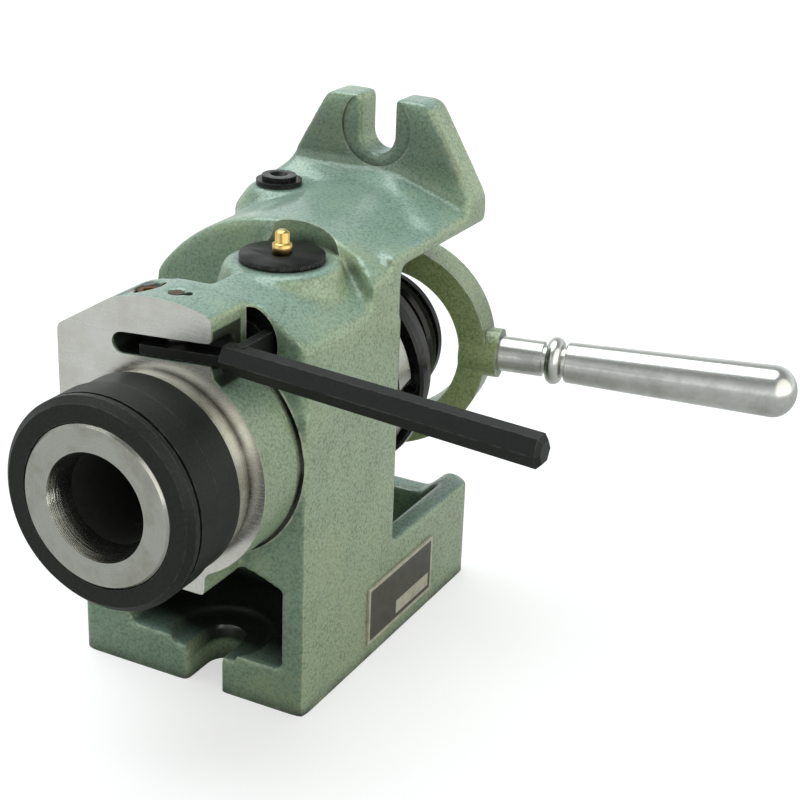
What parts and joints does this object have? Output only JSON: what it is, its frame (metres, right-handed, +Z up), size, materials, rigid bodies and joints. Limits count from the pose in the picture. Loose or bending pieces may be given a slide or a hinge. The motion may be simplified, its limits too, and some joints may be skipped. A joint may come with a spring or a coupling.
{
  "type": "collet index fixture",
  "caption": "Collet index fixture on a cast base: hollow spindle in a column, with an index lever in front and a closer yoke with a chromed handle behind.",
  "frame": {"origin": "on the underside, below the spindle axis, halfway along the base", "axes": "+X towards the name plate, +Y towards the closer (the spindle nose points along -Y), +Z up"},
  "size_m": [0.2152, 0.22, 0.1905],
  "materials": {
    "green_casting": "grey-green hammertone paint over cast iron",
    "ground_steel": "ground and lightly stained",
    "black_oxide": "black oxide",
    "gloss_black": "oiled black, glossy",
    "satin_black": "black oxide, satin",
    "dark_steel": "dull with light rust",
    "bronze": "bronze",
    "brass": "bright brass",
    "chrome": "polished chrome",
    "plate_enamel": "enamelled plate, blank"
  },
  "bodies": {
    "casting": {"body_casting": "green_casting", "front_bearing_cap": "ground_steel", "front_bush": "bronze", "rear_bush": "bronze", "rear_bearing_cap": "ground_steel", "top_cover": "black_oxide", "oiler": "brass", "name_plate": "plate_enamel", "spring_pin": "dark_steel", "tower_set_screw": "dark_steel", "lever_pivot_screw": "gloss_black", "yoke_pivot_screw": "gloss_black", "lock_nut": "black_oxide"},
    "spindle": {"spindle": "ground_steel", "collet_key": "ground_steel", "nose_protector": "black_oxide", "dust_ring": "black_oxide", "index_ring": "ground_steel", "spindle_nut": "ground_steel", "adjusting_ring": "black_oxide", "closer_carrier": "black_oxide", "closer_sleeve": "ground_steel"},
    "draw_tube": {"draw_tube": "ground_steel"},
    "collar": {"closing_collar": "gloss_black"},
    "yoke": {"closer_yoke": "green_casting", "trunnion_top": "dark_steel", "trunnion_bottom": "dark_steel", "closer_handle": "chrome"},
    "lever": {"index_lever": "satin_black"},
    "plunger": {"index_plunger": "ground_steel", "plunger_spring": "dark_steel"},
    "lock": {"lock_screw": "black_oxide"},
    "lock_pad": {"lock_pad": "brass"}
  },
  "joints": [
    {"name": "spindle_spin", "type": "hinge", "parent": "casting", "child": "spindle", "pos_m": [0, 0, 0.095], "axis": [0, 1, 0], "continuous": true},
    {"name": "lever_pivot", "type": "hinge", "parent": "casting", "child": "lever", "pos_m": [0.0175, -0.082, 0.1355], "axis": [0, 1, 0], "range_deg": [0, 7.9], "stiffness_Nm_per_rad": 2, "springref_deg": -8.59},
    {"name": "plunger_slide", "type": "slide", "parent": "casting", "child": "plunger", "axis": [0, 0, 1], "range_m": [0, 0.0025], "deforming": ["plunger_spring"]},
    {"name": "yoke_pivot", "type": "hinge", "parent": "casting", "child": "yoke", "pos_m": [-0.047, 0.0477, 0.095], "axis": [0, 0, 1], "range_deg": [-15, 0]},
    {"name": "collar_slide", "type": "slide", "parent": "spindle", "child": "collar", "axis": [0, 1, 0], "range_m": [-0.0125, 0]},
    {"name": "tube_slide", "type": "slide", "parent": "spindle", "child": "draw_tube", "axis": [0, 1, 0], "range_m": [0, 0.0016]},
    {"name": "pad_slide", "type": "slide", "parent": "casting", "child": "lock_pad", "axis": [0, 0, 1], "range_m": [-0.00025, 0.003]},
    {"name": "lock_turn", "type": "hinge", "parent": "lock_pad", "child": "lock", "pos_m": [-0.027, 0.028, 0.1585], "axis": [0, 0, 1], "range_deg": [-60.5, 722]}
  ],
  "couplings": [
    {"joint": "plunger_slide", "follows": "lever_pivot", "m_per_rad": 0.0175},
    {"joint": "collar_slide", "follows": "yoke_pivot", "m_per_rad": 0.04765},
    {"joint": "tube_slide", "follows": "yoke_pivot", "m_per_rad": -0.00573},
    {"joint": "lock_turn", "follows": "pad_slide", "rad_per_m": 4188.8}
  ]
}
